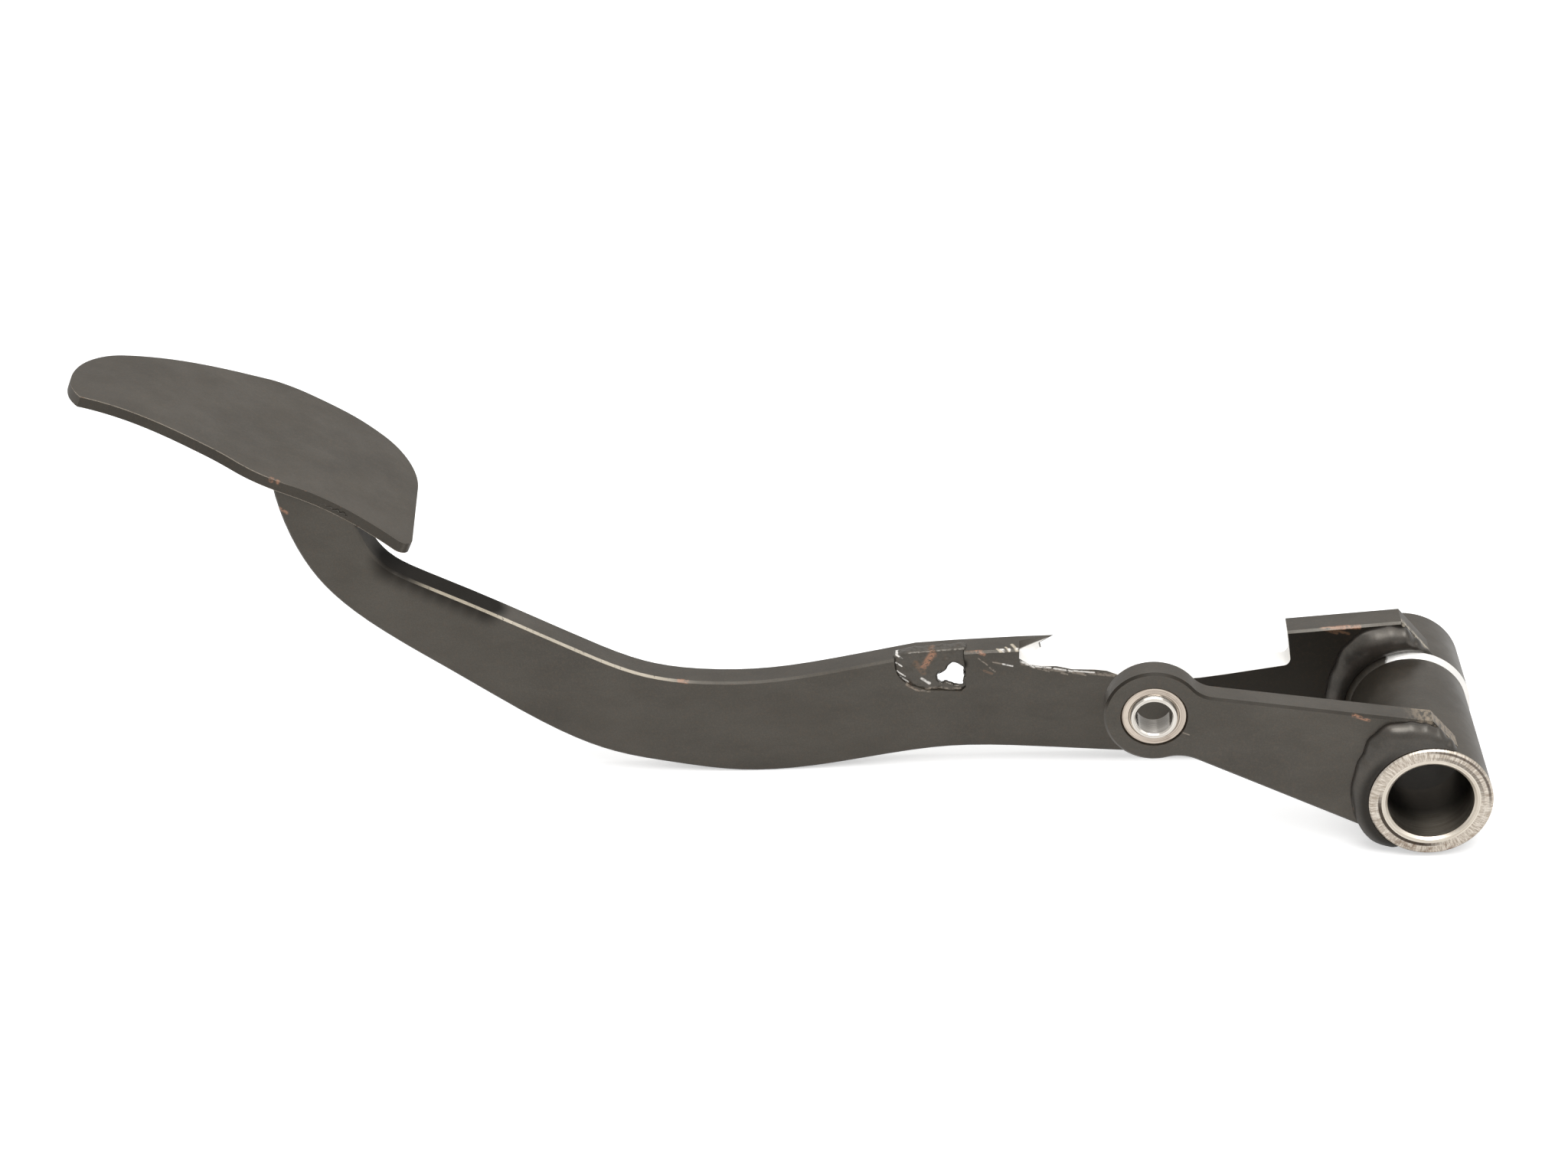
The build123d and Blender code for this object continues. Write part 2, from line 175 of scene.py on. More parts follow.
class Net:
    """A material's node tree with short calls for the nodes used here.

    x, y and z are the place in millimetres. Noise scales are per metre."""

    def __init__(self, name):
        self.material = bpy.data.materials.new(name)
        self.material.use_nodes = True
        self.tree = self.material.node_tree
        self.tree.nodes.clear()
        self.out = self.tree.nodes.new("ShaderNodeOutputMaterial")
        self.shader = self.tree.nodes.new("ShaderNodeBsdfPrincipled")
        self.tree.links.new(self.shader.outputs[0], self.out.inputs["Surface"])
        self.coords = self.tree.nodes.new("ShaderNodeTexCoord").outputs["Object"]
        self.place = self.scaled((1 / MM, 1 / MM, 1 / MM))
        self.x, self.y, self.z = self.split(self.place)

    def put(self, socket, value):
        """Links a socket to value, or sets it where value is a constant."""
        if isinstance(value, bpy.types.NodeSocket):
            self.tree.links.new(value, socket)
        elif isinstance(value, (tuple, list)) and len(value) == 3 and len(socket.default_value) == 4:
            socket.default_value = (*value, 1.0)
        else:
            socket.default_value = value

    def math(self, operation, a, b=0.0, c=0.0, clamp=False):
        node = self.tree.nodes.new("ShaderNodeMath")
        node.operation = operation
        node.use_clamp = clamp
        for socket, value in zip(node.inputs, (a, b, c)):
            self.put(socket, value)
        return node.outputs[0]

    def plus(self, a, b):
        return self.math("ADD", a, b)

    def minus(self, a, b):
        return self.math("SUBTRACT", a, b)

    def times(self, a, b):
        return self.math("MULTIPLY", a, b)

    def line(self, value, slope, start):
        """value times slope plus start."""
        return self.math("MULTIPLY_ADD", value, slope, start)

    def length(self, a, b):
        """Length of the vector (a, b)."""
        return self.math("SQRT", self.plus(self.times(a, a), self.times(b, b)))

    def any_of(self, *shares):
        """The largest of several shares."""
        top = shares[0]
        for share in shares[1:]:
            top = self.math("MAXIMUM", top, share)
        return top

    def all_of(self, *shares):
        """The product of several shares."""
        product = shares[0]
        for share in shares[1:]:
            product = self.times(product, share)
        return product

    def ramp(self, value, start, end, first=0.0, last=1.0):
        """Eases from first at start to last at end."""
        node = self.tree.nodes.new("ShaderNodeMapRange")
        node.interpolation_type = "SMOOTHSTEP"
        for socket, number in zip(node.inputs, (value, start, end, first, last)):
            self.put(socket, number)
        return node.outputs["Result"]

    def over(self, value, limit, step):
        """1 where value is over limit, eased in over a step."""
        return self.ramp(value, limit - step / 2, limit + step / 2)

    def under(self, value, limit, step):
        """1 where value is under limit, eased in over a step."""
        return self.ramp(value, limit + step / 2, limit - step / 2)

    def mix(self, share, a, b):
        node = self.tree.nodes.new("ShaderNodeMix")
        node.data_type = "RGBA"
        self.put(node.inputs["Factor"], share)
        self.put(node.inputs["A"], a)
        self.put(node.inputs["B"], b)
        return node.outputs["Result"]

    def blend(self, share, a, b):
        node = self.tree.nodes.new("ShaderNodeMix")
        node.data_type = "FLOAT"
        self.put(node.inputs["Factor"], share)
        self.put(node.inputs["A"], a)
        self.put(node.inputs["B"], b)
        return node.outputs["Result"]

    def noise(self, scale, detail=2.0, rough=0.5, at=None):
        node = self.tree.nodes.new("ShaderNodeTexNoise")
        self.put(node.inputs["Vector"], at or self.coords)
        node.inputs["Scale"].default_value = scale
        node.inputs["Detail"].default_value = detail
        node.inputs["Roughness"].default_value = rough
        return node.outputs["Fac"]

    def streaks(self, scales, detail=4.0, rough=0.7):
        """Noise with its own scale along each axis."""
        return self.noise(1.0, detail, rough, at=self.scaled(scales))

    def polar(self, radial, around, detail, shift=0.0):
        """Noise in polar coordinates round the pivot axis: scales per millimetre and per radian."""
        turn = self.math("ARCTAN2", self.z, self.x)
        at = self.join(self.times(self.radius(), radial), self.times(turn, around), shift)
        return self.noise(1.0, detail, 0.7, at=at)

    def split(self, vector):
        node = self.tree.nodes.new("ShaderNodeSeparateXYZ")
        self.put(node.inputs[0], vector)
        return node.outputs

    def join(self, x, y, z):
        node = self.tree.nodes.new("ShaderNodeCombineXYZ")
        for socket, value in zip(node.inputs, (x, y, z)):
            self.put(socket, value)
        return node.outputs[0]

    def scaled(self, factors):
        node = self.tree.nodes.new("ShaderNodeVectorMath")
        node.operation = "MULTIPLY"
        self.put(node.inputs[0], self.coords)
        node.inputs[1].default_value = factors
        return node.outputs[0]

    def distance(self, point):
        node = self.tree.nodes.new("ShaderNodeVectorMath")
        node.operation = "DISTANCE"
        self.put(node.inputs[0], self.place)
        node.inputs[1].default_value = point
        return node.outputs["Value"]

    def radius(self):
        """Distance from the pivot axis."""
        return self.length(self.x, self.z)

    def normal(self):
        node = self.tree.nodes.new("ShaderNodeNewGeometry")
        return node.outputs["Normal"]

    def facing(self):
        """The three components of the normal."""
        return self.split(self.normal())

    def rounded(self, radius):
        """The normal as it would be with edges rounded to radius, in metres."""
        node = self.tree.nodes.new("ShaderNodeBevel")
        node.samples = 6
        node.inputs["Radius"].default_value = radius
        return node.outputs[0]

    def edge(self, rounded):
        """1 on an edge, where the rounded normal leaves the true one, and 0 on flat ground."""
        dot = self.tree.nodes.new("ShaderNodeVectorMath")
        dot.operation = "DOT_PRODUCT"
        self.put(dot.inputs[0], rounded)
        self.put(dot.inputs[1], self.normal())
        return self.ramp(dot.outputs["Value"], 0.99, 0.8)

    def near_any(self, places):
        """1 at the given places, falling to 0 at their radius; places are (x, y, z, radius)."""
        return self.any_of(*(self.ramp(self.distance((x, y, z)), radius, radius * 0.4)
                             for x, y, z, radius in places))

    def strokes(self, across, up, lines):
        """1 on short scratches in the plane of across and up: (x1, z1, x2, z2, half width) each."""
        shares = []
        for x1, z1, x2, z2, half in lines:
            run, rise = x2 - x1, z2 - z1
            square = run * run + rise * rise
            along = self.line(across, run / square, -(x1 * run + z1 * rise) / square)
            along = self.math("MULTIPLY_ADD", up, rise / square, along, clamp=True)
            off_across = self.minus(across, self.line(along, run, x1))
            off_up = self.minus(up, self.line(along, rise, z1))
            shares.append(self.ramp(self.length(off_across, off_up), half, half * 0.3))
        return self.any_of(*shares)

    def bump(self, height, strength, distance, normal=None):
        node = self.tree.nodes.new("ShaderNodeBump")
        self.put(node.inputs["Height"], height)
        node.inputs["Strength"].default_value = strength
        node.inputs["Distance"].default_value = distance
        if normal is not None:
            self.put(node.inputs["Normal"], normal)
        return node.outputs[0]

    def finish(self, colour, rough, metal, normal):
        self.put(self.shader.inputs["Base Color"], colour)
        self.put(self.shader.inputs["Roughness"], rough)
        self.put(self.shader.inputs["Metallic"], metal)
        self.put(self.shader.inputs["Normal"], normal)
        return self.material


# Black paint
def mottled(net, base, broad):
    """Colour of paint: slow and fine changes of tone, and grey specks."""
    dark, light = (tuple(value * factor for value in base) for factor in (0.80, 1.25))
    warm = tuple(value * factor for value, factor in zip(base, (1.7, 1.35, 1.1)))
    grey = tuple(value * 2.2 + 0.012 for value in base)
    fine = net.ramp(net.noise(850.0, 2.0, 0.6), 0.45, 0.75)
    speck = net.ramp(net.noise(2600.0, 1.0, 0.5), 0.64, 0.74)
    colour = net.mix(net.ramp(broad, 0.32, 0.68), dark, light)
    colour = net.mix(net.times(fine, 0.6), colour, warm)
    return net.mix(net.times(speck, 0.45), colour, grey)


def uneven_sheen(net):
    """Strength of the paint's reflection, with slow clouds and fine grain."""
    clouds = net.streaks((26.0, 60.0, 60.0), 5.0, 0.62)
    grain = net.noise(1500.0, 2.0, 0.6)
    slow = net.ramp(clouds, 0.30, 0.70, SHEEN * 0.84, SHEEN * 1.06)
    return net.times(slow, net.ramp(grain, 0.3, 0.7, 0.94, 1.06))


def scratches_and_glints(net, colour, marks, front):
    """Adds the scratches and the painted highlights (glints) that marks lists, broken into streaks,
    no deeper than y = front.
    """
    streaky = net.streaks((700.0, 900.0, 1100.0))
    for kind, (shade, strength, broken, whole) in SCRATCHES_AND_GLINTS.items():
        if kind in marks:
            spots = net.all_of(net.strokes(net.x, net.z, marks[kind]), net.ramp(streaky, broken, whole),
                               net.ramp(net.y, front + 0.6, front))
            colour = net.mix(net.times(spots, strength), colour, shade)
    if "dabs" in marks:
        spots = net.times(net.near_any(marks["dabs"]), net.ramp(streaky, 0.40, 0.54))
        colour = net.mix(net.times(spots, 0.8), colour, COPPER)
    return colour


def paint(name, base, rough, marks=None, front=None, wear_and_painted_light=None, bare=None, bare_metal=1.0, wear=0.35,
          peel=0.10):
    """Semi-gloss black paint: mottled, a little dusty, thin and chipped at edges.

    marks maps kinds of mark to lists for strokes(), seen from the side and no deeper than y = front:
    scratches, and glints that are painted highlights. "painted_shade" maps to a list for near_any()
    of spots of painted shade, "dabs" to one of copper-coloured ground. wear_and_painted_light(net)
    gives share, shade and painted-shade share of one more place; bare(net) share, shade and grain of
    unpainted bright steel."""
    net = Net(name)
    marks = marks or {}
    broad = net.noise(22.0, 3.0, 0.55)
    edge = net.edge(net.rounded(0.0007))
    colour = mottled(net, base, broad)

    # dust settles on what faces up
    dust = net.times(net.ramp(net.facing()[2], 0.2, 0.95), net.ramp(net.noise(60.0, 4.0, 0.65), 0.35, 0.75))
    colour = net.mix(net.times(dust, 0.035), colour, DUST)
    gloss = net.blend(net.ramp(net.noise(70.0, 4.0, 0.65), 0.3, 0.7), rough - 0.04, rough + 0.06)
    gloss = net.plus(gloss, net.times(dust, 0.06))

    # rubbed edges show thin paint
    rub = net.times(edge, net.ramp(net.noise(130.0, 3.0, 0.6), 0.40, 0.62))
    colour = net.mix(net.times(rub, wear), colour, THIN_PAINT)

    sheen = uneven_sheen(net)
    # painted shade: near-black spots with a weak reflection where shade and shadow fall
    if "painted_shade" in marks:
        painted_shade_spots = net.near_any(marks["painted_shade"])
        colour = net.mix(net.times(painted_shade_spots, 0.85), colour, PAINTED_SHADE_BLACK)
        sheen = net.blend(painted_shade_spots, sheen, DEEP_SHADE_SHEEN)
    if wear_and_painted_light is not None:
        # the third share is painted shade: paint darkened and its reflection weakened there
        share, shade, painted_shade_share = wear_and_painted_light(net)
        colour = net.mix(share, colour, shade)
        sheen = net.blend(painted_shade_share, sheen, SHADE_SHEEN)
        colour = net.mix(net.times(painted_shade_share, 0.5), colour, PAINTED_SHADE_BLACK)
    colour = scratches_and_glints(net, colour, marks, front)

    # small chips along the edges, down to copper-coloured ground
    chipped = net.all_of(edge, net.ramp(net.noise(420.0, 2.0, 0.6), 0.66, 0.70), net.ramp(broad, 0.45, 0.6))
    colour = net.mix(net.times(chipped, 0.8), colour, COPPER)
    metal = net.times(chipped, 0.3)

    normal = net.bump(net.noise(420.0, 2.0, 0.5), peel, 0.0003)
    net.put(net.shader.inputs["Specular IOR Level"], sheen)
    net.shader.inputs["Specular Tint"].default_value = (*WARM, 1.0)
    if bare is not None:
        share, shade, brushed = bare(net)
        colour = net.mix(share, colour, shade)
        gloss = net.blend(share, gloss, net.blend(brushed, 0.24, 0.42))
        metal = net.any_of(metal, net.times(share, bare_metal))
        normal = net.bump(net.times(brushed, share), 0.25, 0.0002, normal)
    return net.finish(colour, gloss, metal, normal)


# Rubbed and bare places of the painted pieces, with painted highlights and painted shade
def tube_bare(net):
    """Turned front face of the tube: brushed across, stained low down, dark line at the bush."""
    radius = net.radius()
    diagonal = net.plus(net.x, net.z)
    low_left = net.ramp(diagonal, -10.0, -19.0)
    high_right = net.ramp(diagonal, 14.0, 23.0)
    brushed = net.polar(0.3, 26.0, 4.0)
    rings = net.polar(1.5, 1.5, 3.0, shift=3.0)
    shade = net.mix(net.ramp(brushed, 0.35, 0.66), TURNED_DARK, TURNED_LIGHT)
    shade = net.mix(net.times(net.ramp(rings, 0.55, 0.75), 0.5), shade, TURNED_RING)
    stain = net.times(net.ramp(net.z, -9.0, -19.5), net.ramp(net.noise(300.0, 4.0, 0.7), 0.47, 0.62))
    shade = net.mix(net.times(stain, 0.75), shade, TURNED_STAIN)
    seam_side = net.any_of(low_left, net.times(high_right, 0.6))
    seam = net.times(net.under(radius, bore_r + SEAM_WIDTH, 0.3), seam_side)
    shade = net.mix(net.times(seam, 0.93), shade, SEAM_DARK)
    outer_line = net.all_of(net.over(radius, LINE_START, 0.35), net.under(radius, LINE_END, 0.35), high_right)
    shade = net.mix(net.times(outer_line, 0.8), shade, LINE_DARK)
    return net.under(net.y, hub_front + 1.0, 0.4), shade, brushed


def tube_bore_shade(net):
    """Painted shade on the tube's inner wall: darker paint with a weaker reflection."""
    inside = net.times(net.under(net.radius(), bore_r + 1.0, 0.4), net.over(net.y, hub_front + 1.0, 1.0))
    return 0.0, PAINTED_SHADE_BLACK, net.times(inside, 0.85)


def boss_bare(net):
    """Bright turned cone at the front of the rear boss, painted over beside the weld."""
    radius = net.radius()
    wander = net.line(net.noise(400.0, 3.0, 0.6), 4.0, -2.0)
    clear = net.over(net.plus(net.x, wander), CONE_CLEAR_LEFT, 1.5)
    share = net.all_of(net.under(net.y, boss_front + CONE_DEPTH, 0.25),
                       net.ramp(radius, tube_r - 0.2, tube_r), clear)
    rings = net.noise(1.0, 3.0, 0.7, at=net.join(net.times(radius, 5.2), net.times(net.x, 0.06),
                                                net.times(net.z, 0.06)))
    return share, net.mix(rings, CONE_STEEL, BRIGHT), rings


def arm_rub_and_painted_light(net):
    """Pale rub on the tab's slanting end; painted highlights in the same colour on the bevel of the arm's
    top front edge and on its top beside the notch; painted shade on the face behind the lever.
    """
    across, outward, up = net.facing()
    rub = net.streaks((900.0, 500.0, 260.0))
    end_face = net.all_of(net.ramp(across, 0.45, 0.62), net.over(net.x, TAB_RUB_LEFT, 1.0),
                          net.ramp(net.y, arm_face + 4.2, arm_face + 2.0), net.ramp(rub, 0.40, 0.56))
    # painted highlight along the bevel of the arm's top front edge
    bevel_highlight = net.all_of(net.ramp(outward, -0.35, -0.55), net.ramp(up, 0.40, 0.58),
                        net.over(net.x, BEVEL_HIGHLIGHT_LEFT, 12.0), net.under(net.x, BEVEL_HIGHLIGHT_RIGHT, 18.0),
                        net.ramp(rub, 0.30, 0.45))
    # painted highlights on the arm's top beside the notch
    top_glints = net.times(net.strokes(net.x, net.y, TOP_GLINTS), net.ramp(up, 0.3, 0.6))
    # painted shade on the arm's face behind the lever
    shade_behind_lever = net.all_of(net.ramp(outward, -0.85, -0.95), net.over(net.x, SHADE_BEHIND_LEVER_LEFT, 22.0),
                              net.ramp(net.y, arm_face + 0.6, arm_face + 0.2))
    return net.any_of(net.times(end_face, 0.8), net.times(bevel_highlight, 0.75), top_glints), ARM_RUB_AND_HIGHLIGHT, shade_behind_lever


def arm_bare(net):
    """Floor and both ends of the fork notch, ground bright after painting."""
    across, outward, up = net.facing()
    wall = net.ramp(net.math("ABSOLUTE", outward), 0.85, 0.70)
    between_faces = net.times(net.over(net.y, arm_face + 0.25, 0.3), net.under(net.y, arm_back - 0.25, 0.3))
    right_of_end = net.over(net.x, NOTCH_LEFT, 0.6)
    over_floor = net.minus(net.z, net.line(net.x, NOTCH_FLOOR_SLOPE, NOTCH_FLOOR))
    over_roof = net.minus(net.z, net.line(net.x, NOTCH_ROOF_SLOPE, NOTCH_ROOF))
    ground_floor = net.all_of(net.under(over_floor, -1.2, 0.8), net.ramp(up, 0.3, 0.6), right_of_end,
                              net.under(net.x, NOTCH_RIGHT, 1.0), wall)
    end_wall = net.all_of(net.ramp(up, 0.92, 0.80), right_of_end, net.under(net.x, NOTCH_ROOF_END, 1.5),
                          between_faces, net.under(over_roof, 0.0, 0.8))
    tab_wall = net.all_of(net.ramp(across, -0.2, -0.4), net.over(net.x, TAB_FOOT, 1.0),
                          net.under(net.x, TAB_CORNER, 1.0), between_faces, net.under(net.z, TAB_TOP, 0.6))
    share = net.times(net.any_of(ground_floor, end_wall, tab_wall), net.ramp(net.z, 4.0, 8.0))
    grain = net.streaks((2600.0, 240.0, 2600.0), 3.0)
    return share, net.mix(grain, GROUND_STEEL, BRIGHT), grain


def foot_rim_light_and_shade(net):
    """Painted highlight lines along the foot plate's front rim, and painted shade on its front edge face."""
    rub = net.ramp(net.streaks((160.0, 500.0, 500.0)), 0.28, 0.48)
    rounded = net.rounded(0.0006)
    _, outward, up = net.split(rounded)
    # painted highlights: pale lines along the rounded rim, broken into streaks
    rim = net.all_of(net.edge(rounded), net.ramp(outward, -0.30, -0.42), net.ramp(outward, -0.97, -0.90), rub)
    top = net.all_of(rim, net.ramp(up, 0.20, 0.35), net.under(net.x, RIM_TOP_RIGHT, 15.0))
    low = net.all_of(rim, net.ramp(up, -0.10, -0.25), net.over(net.x, RIM_LOW_LEFT, 10.0))
    # painted shade on the front edge face
    front = net.ramp(net.facing()[1], -0.80, -0.93)
    return net.times(net.any_of(top, low), 0.85), FOOT_RIM_HIGHLIGHT, net.times(front, 0.45)


def lever_rub_and_rim_shade(net):
    """Ground and rusty end of the lever beside its weld; painted shade on its rim: darker paint with a weaker
    reflection.
    """
    across, outward, up = net.facing()
    rub = net.ramp(net.streaks((500.0, 260.0, 900.0)), 0.38, 0.58)
    end = net.all_of(net.over(net.x, LEVER_RUB_LEFT, 9.0), net.ramp(net.any_of(across, up), 0.35, 0.6), rub)
    # painted shade on the rim
    rim = net.all_of(net.ramp(outward, -0.25, -0.40), net.ramp(outward, -0.95, -0.88), net.ramp(up, 0.1, 0.3))
    return net.times(end, 0.75), LEVER_RUB, rim


def weld_burn_and_toe_shade(net):
    """Burnt brown grain on a bead, and painted shade at its toe next to the tube."""
    radius = net.radius()
    # painted shade at the toe next to the tube
    toe = net.times(net.under(radius, 23.0, 3.0), net.under(net.z, 18.0, 12.0))
    grain = net.streaks((170.0, 130.0, 170.0), 2.0, 0.5)
    brown = net.times(net.over(radius, 23.75, 2.5), net.ramp(grain, 0.45, 0.62))
    return net.times(brown, 0.25), BURNT, net.times(toe, 0.9)


# Bare steel
def steel(name, dark, light, rough, grain, stain, axis=(0.0, 0.0), deep=None):
    """Bare steel with fine turning marks round the axis at (x, z); grain is per millimetre.

    deep gives (y, y, share, share): how shaded the bore's wall gets from the first y to the second."""
    net = Net(name)
    across = net.minus(net.x, axis[0])
    up = net.minus(net.z, axis[1])
    radius = net.length(across, up)
    turned = net.join(net.times(radius, grain), net.times(net.y, grain), net.times(net.x, 0.07))
    marks = net.noise(1.0, 3.0, 0.65, at=turned)
    blotch = net.ramp(net.noise(240.0, 4.0, 0.65), 0.52, 0.70)
    colour = net.mix(net.ramp(marks, 0.3, 0.7), dark, light)
    colour = net.mix(net.times(blotch, stain), colour, OILY)
    gloss = net.plus(net.blend(marks, rough - 0.07, rough + 0.09), net.times(blotch, stain * 0.4))
    if deep:
        facing = net.facing()
        inward = net.plus(net.times(across, facing[0]), net.times(up, facing[2]))
        wall = net.times(net.ramp(net.math("ABSOLUTE", facing[1]), 0.5, 0.3), net.ramp(inward, 0.0, -2.0))
        depth = net.line(net.math("MINIMUM", up, 0.0), 0.35, net.y)
        colour = net.mix(net.times(wall, net.ramp(depth, *deep)), colour, SHADED_STEEL)
    return net.finish(colour, gloss, 1.0, net.bump(marks, 0.18, 0.0001))


# Marks seen in the photo, in millimetres
# painted highlights on the arm's top beside the notch, in x and y
TOP_GLINTS = [
    (-142.4, 19.3, -140.6, 17.8, 0.6), (-139.4, 20.3, -137.9, 17.8, 0.55), (-137.2, 22.0, -135.2, 17.8, 0.8),
]
# painted shade in the pocket's upper corner, and painted shadow on the arm's top under the foot plate
POCKET_SHADE = [(-157.2, 18.0, 23.3, 3.6), (-155.2, 18.0, 21.0, 3.0)]
SHADE_SPOTS = 8
shadow_under_foot = [(-356.0 + 4.5 * k, 23.5, 68.0 - 2.75 * k, 12.0 - 0.25 * k) for k in range(SHADE_SPOTS)]
arm_marks = {
    "chips": [
        (-393.0, 91.5, -390.8, 89.8, 0.9), (-257.5, 17.2, -254.6, 16.5, 1.0),
        (-150.5, 26.5, -147.1, 24.6, 1.0), (-29.4, 31.6, -22.0, 31.2, 1.0),
        (-24.0, 31.4, -16.8, 31.2, 0.9),
    ],
    "rust": [
        (-147.4, 18.0, -144.5, 16.7, 0.7), (-156.5, 26.7, -151.1, 25.6, 0.7),
        (-30.3, 31.5, -24.5, 29.3, 0.9), (-27.0, 31.0, -20.5, 28.8, 0.8),
        (-175.0, 12.8, -171.0, 10.6, 0.7),
    ],
    # glints: painted highlights on the pocket's rim, the notch's edge and the arm's top beside it
    "glints": [
        (-178.7, 24.4, -176.3, 23.1, 0.5), (-178.3, 21.2, -176.6, 20.0, 0.45),
        (-178.0, 18.3, -175.4, 16.4, 0.45), (-177.0, 15.8, -174.7, 13.8, 0.45),
        (-142.4, 26.9, -140.0, 25.6, 0.6), (-139.4, 27.4, -137.9, 25.8, 0.55),
        (-137.2, 28.3, -135.4, 26.4, 0.8), (-140.5, 20.5, -137.2, 19.6, 0.45),
        (-134.2, 21.4, -129.6, 19.0, 0.6), (-129.2, 19.2, -123.8, 18.5, 0.5),
        (-122.6, 18.2, -116.3, 16.9, 0.5), (-115.6, 17.0, -108.6, 16.1, 0.45),
    ],
    # pale: scratches, and painted highlights along the pocket's lower rim and the notch's front rim
    "pale": [
        (-175.3, 13.2, -172.1, 10.9, 0.5), (-172.1, 10.9, -167.2, 10.1, 0.5),
        (-167.1, 12.7, -156.2, 10.8, 0.5), (-148.4, 26.5, -142.4, 26.6, 0.4),
        (-149.1, 23.1, -146.0, 20.2, 0.35), (-145.2, 19.2, -143.4, 17.6, 0.5),
        (-144.0, 21.4, -140.5, 20.5, 0.45), (-130.8, 19.1, -124.4, 17.0, 0.4),
        (-120.1, 16.3, -118.0, 15.6, 0.5), (-114.7, 16.1, -111.5, 15.1, 0.5),
        (-32.0, 31.8, -27.0, 31.0, 0.6), (-133.6, 20.6, -123.2, 17.9, 1.0),
        (-123.0, 17.8, -112.0, 15.9, 1.0), (-111.0, 16.2, -100.6, 14.6, 1.0),
        (-101.0, 15.2, -96.5, 13.0, 0.8),
    ],
    # spots of painted shade and painted shadow
    "painted_shade": POCKET_SHADE + shadow_under_foot,
}
lever_marks = {
    "chips": [(-25.2, 31.3, -20.3, 29.4, 0.8)],
    "pale": [(-107.0, 32.1, -106.1, 27.7, 0.35), (-106.1, 27.7, -104.4, 23.2, 0.4),
             (-104.4, 23.2, -102.0, 20.5, 0.35), (-81.4, 27.0, -78.1, 25.5, 0.3)],
}
foot_marks = {"dabs": [(-393.2, 16.0, 103.8, 1.4), (-391.2, 16.0, 102.9, 1.2)]}
patch_marks = {
    "chips": [(-165.3, 24.5, -168.8, 19.9, 1.7)],
    "rust": [(-171.5, 21.0, -169.0, 17.4, 1.5), (-166.3, 25.2, -164.8, 23.9, 1.2)],
    # glints: painted highlights on the patch's rim
    "glints": [(-169.7, 14.9, -167.1, 13.2, 0.8), (-178.7, 24.4, -176.3, 23.1, 0.4),
               (-178.6, 21.4, -176.6, 20.0, 0.35), (-178.3, 18.4, -175.6, 16.2, 0.35),
               (-177.4, 16.2, -174.7, 13.6, 0.4)],
    # pale: painted highlights along the pocket's lower rim
    "pale": [(-175.3, 13.6, -172.1, 11.3, 0.6), (-172.1, 11.3, -167.2, 10.6, 0.6),
             (-167.1, 11.2, -156.2, 10.6, 0.6)],
}

materials = {
    "foot_plate": paint("foot_paint", FOOT_BLACK, 0.44, foot_marks, wear_and_painted_light=foot_rim_light_and_shade, wear=0.0, peel=0.05),
    "arm_plate": paint("arm_paint", BLACK, 0.42, arm_marks, front=arm_face + 1.0, wear_and_painted_light=arm_rub_and_painted_light,
                       bare=arm_bare, bare_metal=0.2, wear=0.12),
    "front_lever": paint("lever_paint", BLACK, 0.42, lever_marks, front=lever_face + 1.0, wear_and_painted_light=lever_rub_and_rim_shade,
                         wear=0.0),
    "front_hub_tube": paint("tube_paint", BLACK, 0.40, wear_and_painted_light=tube_bore_shade, bare=tube_bare),
    "rear_hub_boss": paint("boss_paint", BLACK, 0.34, bare=boss_bare, bare_metal=0.4),
    "front_bush": steel("bush_steel", (0.60, 0.53, 0.44), (0.86, 0.80, 0.71), 0.36, 2.6, 0.10,
                        deep=(-48.0, -33.0, 0.12, 0.96)),
    "rear_bush": steel("rear_bush_steel", (0.52, 0.48, 0.42), (0.78, 0.75, 0.70), 0.36, 2.6, 0.10),
    "bearing_outer_ring": steel("ring_steel", (0.42, 0.355, 0.30), (0.76, 0.67, 0.575), 0.28, 3.6, 0.20,
                                eye_axis),
    "bearing_ball": steel("ball_steel", (0.62, 0.58, 0.53), (0.86, 0.82, 0.76), 0.20, 3.6, 0.08, eye_axis,
                          deep=(-44.0, -38.0, 0.40, 0.70)),
}
for node_name, material in materials.items():
    mesh = nodes[node_name].data
    mesh.materials.clear()
    mesh.materials.append(material)


# Weld beads
SECTION_POINTS = 22
SEAM_POINTS = 12
LUMPS_PER_METRE = 100.0
GRIT_PER_METRE = 300.0
GRIT_SHARE = 0.012
BEAD_FULLNESS = 0.72
RIPPLE_BOW = 2.6
TOE_CALM = 2.2


def between(stations, place):
    """Values at place along stations, each (place, value, value, ...), eased from one to the next."""
    for start, end in zip(stations, stations[1:]):
        if start[0] <= place <= end[0]:
            share = (place - start[0]) / (end[0] - start[0])
            ease = share * share * (3 - 2 * share)
            return [a + (b - a) * ease for a, b in zip(start[1:], end[1:])]
    return list(stations[-1][1:])


def rounded_end(near, least):
    """Size of a bead near its end, from least at near = 0 to 1 at near = 1, along a quarter circle."""
    return least + (1 - least) * math.sqrt(1 - (1 - min(1.0, near)) ** 2)


